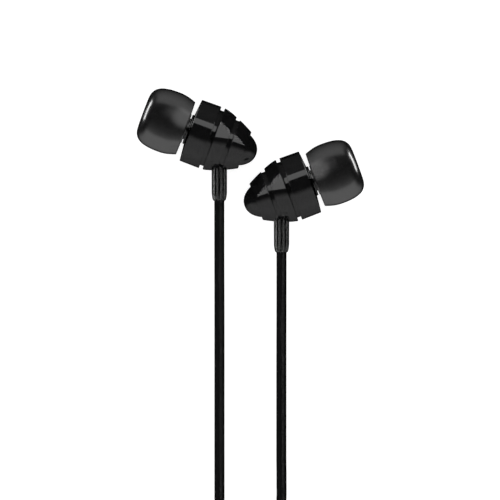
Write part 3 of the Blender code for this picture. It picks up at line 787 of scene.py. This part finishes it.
def plug():
    """Three-pole plug: gold contacts, black rings between them, a ribbed grip and a stepped boot."""
    shoulder = Matrix.Translation(Vector((PLUG_X, SHOULDER_Y, PLUG_Z)) * MM)
    place = shoulder @ Matrix.Rotation(-math.pi / 2, 4, "X")
    grip_low = -14.3
    boot_high = -14.6
    boot_low = -22.6
    ribs = 30
    rib_depth = 0.12
    ribs_low = -8.6
    ribs_high = -1.7
    rib_fade = 0.7

    def grip_ribs(angle, radius, z):
        if radius < 2.45 or not ribs_low < z < ribs_high:
            return radius
        wave = (1 - math.cos(angle * ribs)) / 2
        edge = ease((z - ribs_low) / rib_fade) * ease((ribs_high - z) / rib_fade)
        return radius - rib_depth * wave ** 3 * edge

    grip = rounded([
        (2.52, -0.30, 0.12), (2.80, -0.75, 0.2), (2.80, -5.0, 1.5), (2.55, -9.5, 1.5),
        (2.55, grip_low + 0.4, 0.2), (2.25, grip_low, 0.08), (1.20, grip_low), (1.20, -11.0),
        (1.95, -10.2), (1.95, -1.35), (2.35, -1.35), (2.35, -0.30, 0.05),
    ])
    dense = []
    for here, after in zip(grip, grip[1:] + grip[:1]):
        count = max(1, round((after - here).length / 0.5)) if here.x > 2.45 and after.x > 2.45 else 1
        dense += [here.lerp(after, i / count) for i in range(count)]
    made = [add_piece("plug_grip_moulding", lathe(dense, 240, grip_ribs), "gloss_black", matrix=place,
                      replaces=["plug_grip"])]
    boot = [(2.15, boot_high, 0.1)]
    for ring in range(5):
        z = boot_high - 1.0 - ring * 1.2
        r = 2.12 - ring * 0.15
        boot += [(r, z, 0.08), (r - 0.28, z - 0.1, 0.06), (r - 0.30, z - 0.55, 0.06),
                 (r - 0.08, z - 0.65, 0.08)]
    boot += [(1.20, boot_low + 0.1, 0.1), (1.02, boot_low), (1.02, boot_high)]
    made.append(add_piece("plug_relief", lathe(supported(rounded(boot)), SMALL_SIDES), "rubber",
                          matrix=place, replaces=["plug_boot"]))
    contacts = {
        "sleeve": ("plug_metal", [
            (1.75, 7.20, 0.08), (1.75, 0.0, 0.05), (2.28, 0.0, 0.08), (2.28, -1.20), (1.75, -1.20),
            (1.75, -2.60), (1.16, -2.60), (1.16, 7.20)]),
        "rear_insulator": ("insulator", [
            (1.72, 8.15, 0.03), (1.72, 7.26, 0.03), (1.11, 7.26), (1.11, -3.2), (0.96, -3.2),
            (0.96, 8.15)]),
        "ring": ("plug_metal", [
            (1.75, 10.05, 0.08), (1.75, 8.21, 0.08), (0.90, 8.21), (0.90, -4.0), (0.70, -4.0),
            (0.70, 10.05)]),
        "front_insulator": ("insulator", [
            (1.72, 10.95, 0.03), (1.72, 10.11, 0.03), (0.65, 10.11), (0.65, -4.6), (0.50, -4.6),
            (0.50, 10.95)]),
        "tip": ("plug_metal", [
            (0.0, 14.0), (0.45, 14.0, 0.12), (0.95, 13.72, 0.3), (1.66, 12.85, 0.2), (1.62, 12.40, 0.1),
            (1.20, 11.90, 0.2), (1.72, 11.35, 0.1), (1.72, 11.01, 0.03), (0.45, 11.01), (0.45, -5.2),
            (0.0, -5.2)]),
    }
    for name, (slot, corners) in contacts.items():
        mesh = lathe(supported(rounded(corners)), SMALL_SIDES)
        made.append(add_piece(f"plug_{name}_contact", mesh, slot, matrix=place,
                              replaces=[f"plug_{name}"]))
    return made


# ---------------------------------------------------------------- studio
def make_floor():
    """A plain pale light table: it glows a little, so shadows on it stay faint."""
    half = 3.0
    body = bmesh.new()
    bmesh.ops.create_grid(body, x_segments=1, y_segments=1, size=half)
    mesh = bpy.data.meshes.new("floor")
    body.to_mesh(mesh)
    body.free()
    mat = new_shader("pale_table", (0.50, 0.50, 0.50), 0.9)
    shader_of(mat).inputs["Specular IOR Level"].default_value = 0.0
    shader_of(mat).inputs["Emission Color"].default_value = (1.0, 1.0, 1.0, 1.0)
    shader_of(mat).inputs["Emission Strength"].default_value = 0.75
    mesh.materials.append(mat)
    floor = bpy.data.objects.new("floor", mesh)
    floor.location.z = -0.02 * MM
    floor.visible_glossy = False
    floor.visible_shadow = False
    bpy.context.scene.collection.objects.link(floor)


def smooth_step(tree, value, start, end, low=0.0, high=1.0):
    node = tree.nodes.new("ShaderNodeMapRange")
    node.interpolation_type = "SMOOTHSTEP"
    node.inputs["From Min"].default_value = start
    node.inputs["From Max"].default_value = end
    node.inputs["To Min"].default_value = low
    node.inputs["To Max"].default_value = high
    tree.links.new(value, node.inputs["Value"])
    return node.outputs["Result"]


def math_step(tree, operation, first, second):
    node = tree.nodes.new("ShaderNodeMath")
    node.operation = operation
    for socket, value in zip(node.inputs, (first, second)):
        if isinstance(value, (int, float)):
            socket.default_value = value
        else:
            tree.links.new(value, socket)
    return node.outputs["Value"]


def make_world():
    """Even white light on every surface. What the gloss mirrors is the domes instead."""
    world = bpy.data.worlds.new("studio")
    bpy.context.scene.world = world
    world.use_nodes = True
    background = world.node_tree.nodes["Background"]
    background.inputs["Color"].default_value = (1.0, 1.0, 1.0, 1.0)
    background.inputs["Strength"].default_value = 1.2
    world.cycles_visibility.glossy = False


def receiver_group(name, pieces, excluded=False):
    """A light-linking group of the pieces that a light is for, or of those that it is not for."""
    group = bpy.data.collections.new(name)
    for piece in pieces:
        group.objects.link(bpy.data.objects[piece])
    if excluded:
        for entry in group.collection_objects:
            entry.light_linking.link_state = "EXCLUDE"
    return group


def add_glowing(name, body, mat, receivers):
    """Link a glowing shape that only its receivers mirror and that nothing else sees."""
    mesh = bpy.data.meshes.new(name)
    body.to_mesh(mesh)
    body.free()
    mesh.materials.append(mat)
    item = bpy.data.objects.new(name, mesh)
    bpy.context.scene.collection.objects.link(item)
    item.visible_camera = False
    item.visible_diffuse = False
    item.visible_shadow = False
    item.light_linking.receiver_collection = receivers


def see_through_glow(name, power):
    """Emission that lets rays on through it, to what lies behind."""
    mat = bpy.data.materials.new(name)
    mat.use_nodes = True
    tree = mat.node_tree
    tree.nodes.remove(tree.nodes["Principled BSDF"])
    glow = tree.nodes.new("ShaderNodeEmission")
    glow.inputs["Strength"].default_value = power
    clear = tree.nodes.new("ShaderNodeBsdfTransparent")
    both = tree.nodes.new("ShaderNodeAddShader")
    tree.links.new(glow.outputs["Emission"], both.inputs[0])
    tree.links.new(clear.outputs["BSDF"], both.inputs[1])
    tree.links.new(both.outputs["Shader"], tree.nodes["Material Output"].inputs["Surface"])
    mat.cycles.emission_sampling = "NONE"
    return mat, glow


def direction_part(tree, axis):
    """How far a dome's direction points along an axis, from -1 to 1."""
    place = tree.nodes.new("ShaderNodeTexCoord")
    unit = tree.nodes.new("ShaderNodeVectorMath")
    unit.operation = "NORMALIZE"
    dot = tree.nodes.new("ShaderNodeVectorMath")
    dot.operation = "DOT_PRODUCT"
    dot.inputs[1].default_value = axis
    tree.links.new(place.outputs["Object"], unit.inputs[0])
    tree.links.new(unit.outputs["Vector"], dot.inputs[0])
    return dot.outputs["Value"]


def angle_ramp(tree, across, stops, peak):
    """Strength by the angle from straight up towards an axis, through (degrees, strength) stops."""
    angle = math_step(tree, "ARCTAN2", direction_part(tree, across), direction_part(tree, UP))
    share = math_step(tree, "MULTIPLY_ADD", angle, 0.5 / math.pi)
    share.node.inputs[2].default_value = 0.5
    ramp = tree.nodes.new("ShaderNodeValToRGB")
    elements = ramp.color_ramp.elements
    elements.remove(elements[1])
    for index, (degrees, strength) in enumerate(stops):
        stop = elements[0] if index == 0 else elements.new(degrees / 360 + 0.5)
        stop.position = degrees / 360 + 0.5
        stop.color = (strength / peak, strength / peak, strength / peak, 1.0)
    tree.links.new(share, ramp.inputs["Fac"])
    return math_step(tree, "MULTIPLY", ramp.outputs["Color"], peak)


def make_dome(name, radius, receivers, strength_of):
    """A sphere of light round the studio, with its strength by direction, for its receivers only."""
    body = bmesh.new()
    bmesh.ops.create_uvsphere(body, u_segments=48, v_segments=24, radius=radius)
    mat, glow = see_through_glow(name, 1.0)
    mat.node_tree.links.new(strength_of(mat.node_tree), glow.inputs["Strength"])
    add_glowing(name, body, mat, receivers)


def gloss_light(tree):
    """Dark above, pale on the -Y side, dim straight across on +Y, and fading below the horizon."""
    y = direction_part(tree, (0.0, 1.0, 0.0))
    x = math_step(tree, "ABSOLUTE", direction_part(tree, (1.0, 0.0, 0.0)), 0.0)
    near_side = smooth_step(tree, y, -0.17, -0.50, 0.0, 0.66)
    far_side = math_step(tree, "MULTIPLY", smooth_step(tree, x, 0.55, 0.38, 0.0, 0.15),
                         smooth_step(tree, y, 0.55, 0.80))
    both = math_step(tree, "ADD", math_step(tree, "ADD", near_side, far_side), 0.02)
    height = math_step(tree, "ADD", direction_part(tree, UP), 1.0)
    fade = math_step(tree, "MULTIPLY", height, 0.86)
    fade.node.use_clamp = True
    return math_step(tree, "MULTIPLY", both, fade)


def tip_light(side):
    """Bands of light above and below a tip's axis, and a soft spot on its rear half."""
    front, across = level_axes(side)
    rearward = -front
    stops = [
        (-160, 0.0), (-148, 0.20), (-140, 0.48), (-130, 0.70), (-120, 0.94), (-110, 1.20), (-90, 1.67),
        (-70, 1.95), (-63, 0.80), (-40, 0.31), (-20, 0.115), (0, 0.04), (55, 0.05), (67, 1.28),
        (90, 1.09), (104, 0.70), (120, 0.335), (136, 0.096), (150, 0.0),
    ]
    spot = (rearward * 0.52 + across * 0.50 + Vector(UP) * 0.69).normalized()

    def strength_of(tree):
        bands = angle_ramp(tree, across, stops, 2.0)
        front_fade = smooth_step(tree, direction_part(tree, rearward), -0.75, -0.45)
        glow = smooth_step(tree, direction_part(tree, spot), 0.74, 0.98, 0.0, 2.0)
        return math_step(tree, "ADD", math_step(tree, "MULTIPLY", bands, front_fade), glow)

    return strength_of


def boot_light(tree):
    """Light from the sides and from both sides of straight up, which picks out the boots' ribs."""
    stops = [
        (-150, 0.08), (-125, 0.12), (-112, 0.20), (-104, 2.80), (-76, 2.80), (-68, 0.0), (-48, 0.0),
        (-42, 1.10), (-18, 1.10), (-12, 0.0), (12, 0.0), (18, 1.10), (42, 1.10), (48, 0.0),
        (68, 0.0), (76, 1.10), (98, 1.10), (108, 0.10), (130, 0.06), (150, 0.03),
    ]
    return angle_ramp(tree, (1.0, 0.0, 0.0), stops, 2.8)


def cord_light(tree):
    """Dim across the cords, with one lighter band to the right of straight up, and paler at both ends."""
    stops = [
        (-150, 0.0), (-100, 0.02), (-70, 0.08), (-50, 0.09), (-10, 0.02), (14, 0.05), (24, 0.48),
        (46, 0.52), (58, 0.04), (90, 0.01), (150, 0.0),
    ]
    bands = angle_ramp(tree, (1.0, 0.0, 0.0), stops, 1.0)
    end_on = math_step(tree, "ABSOLUTE", direction_part(tree, (0.0, 1.0, 0.0)), 0.0)
    return math_step(tree, "ADD", bands, smooth_step(tree, end_on, 0.68, 0.90, 0.0, 1.1))


def metal_light(tree):
    """Bright above and dim below, for the plug's contacts and the screens."""
    return smooth_step(tree, direction_part(tree, UP), -0.70, 0.50, 0.15, 1.30)


def ceiling_panel(name, corners, height, power, receivers):
    """A flat softbox of any outline, seen only in reflections. Corners are for a height of one."""
    body = bmesh.new()
    body.faces.new([body.verts.new((x * height, y * height, height)) for x, y in corners])
    add_glowing(name, body, see_through_glow(name, power)[0], receivers)


def side_panel(name, spot, size, radiance, receivers):
    """An upright rectangular softbox, facing the origin's axis, that only the given pieces mirror."""
    data = bpy.data.lights.new(name, "AREA")
    data.shape = "RECTANGLE"
    data.size, data.size_y = size
    data.energy = radiance * math.pi * size[0] * size[1]
    light = bpy.data.objects.new(name, data)
    bpy.context.scene.collection.objects.link(light)
    light.location = spot
    light.rotation_euler = Vector((-spot[0], -spot[1], 0.0)).to_track_quat("-Z", "Y").to_euler()
    light.visible_camera = False
    light.visible_diffuse = False
    light.light_linking.receiver_collection = receivers


def make_lights():
    """Domes and softboxes, each for its own pieces. Domes differ in size, so that none coincide."""
    tips = [f"{side}_tip_moulding" for side in SIGN]
    boots = [f"{side}_strain_relief" for side in SIGN]
    runs = ["left_cord_run", "right_cord_run", "main_cord_run"]
    metal = [piece.name for piece in plug_pieces if piece.name.endswith("_contact")]
    metal += [f"{side}_woven_screen" for side in SIGN]
    not_gloss = receiver_group("not_gloss", tips + boots + runs + metal, excluded=True)
    make_dome("gloss_dome", 4.0, not_gloss, gloss_light)
    make_dome("metal_dome", 3.5, receiver_group("metal", metal), metal_light)
    make_dome("boot_dome", 4.1, receiver_group("boots", boots), boot_light)
    make_dome("cord_dome", 4.2, receiver_group("cords", runs), cord_light)
    softbox_outline = [(0.045, 0.775), (0.335, -0.015), (1.820, 0.035), (2.33, 1.268), (1.92, 2.630)]
    softbox_height = 2.0
    softbox_power = 2.0
    strip_size = (0.80, 0.36)
    strip_radiance = 18.0
    rim_size = (0.50, 1.50)
    rim_radiance = 7.0
    for side, sign in SIGN.items():
        front, across = level_axes(side)
        tip = [f"{side}_tip_moulding"]
        make_dome(f"{side}_tip_dome", 3.7 + 0.1 * sign, receiver_group(f"{side}_tip", tip),
                  tip_light(side))
        housing = receiver_group(f"{side}_housing", [f"{side}_front_housing", f"{side}_rear_housing"])
        ceiling_panel(f"{side}_softbox", [(-sign * x, y) for x, y in softbox_outline], softbox_height,
                      softbox_power, housing)
        strip_spot = front + across * 0.17 + Vector(UP) * -0.08
        side_panel(f"{side}_tip_strip", strip_spot, strip_size, strip_radiance,
                   receiver_group(f"{side}_strip", tip))
        rim_spot = front + across * 0.38 + Vector(UP) * -0.15
        side_panel(f"{side}_rim_strip", rim_spot, rim_size, rim_radiance,
                   receiver_group(f"{side}_rim", [f"{side}_front_housing"]))


# ---------------------------------------------------------------- assembly
make_camera()
cords = make_cords()
FINISH = make_materials()
for part in frame["record"]["subparts"]:
    node = frame["nodes"][part["node"]]
    node.data.materials.clear()
    node.data.materials.append(FINISH[part["material_slot"]])
    node.visible_glossy = False      # bright inner pieces would show as dots in the gloss
for earphone_side in SIGN:
    ear_tip(earphone_side)
    front_housing(earphone_side)
    rear_housing(earphone_side)
    nose_cap(earphone_side)
    strain_relief(earphone_side)
    nozzle_screen(earphone_side)
y_split()
split_boot()
coil_tie("upper_tie_strap", "upper_coil_tie")
coil_tie("main_tie_strap", "main_coil_tie")
plug_pieces = plug()

replaced = {
    "left": ["left_cord", "left_cord_tail", "upper_cord_coil"],
    "right": ["right_cord", "right_cord_tail"],
    "main": ["main_cord_lead", "main_cord_coil", "main_cord_tail"],
}
for cord_name, (cord, cord_length) in cords.items():
    cord.data.materials.append(FINISH["cord"])
    cord.visible_glossy = False
    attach(cord, "root")
    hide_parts(*replaced[cord_name])

make_floor()
make_world()
make_lights()
bpy.context.scene.view_settings.view_transform = "Standard"
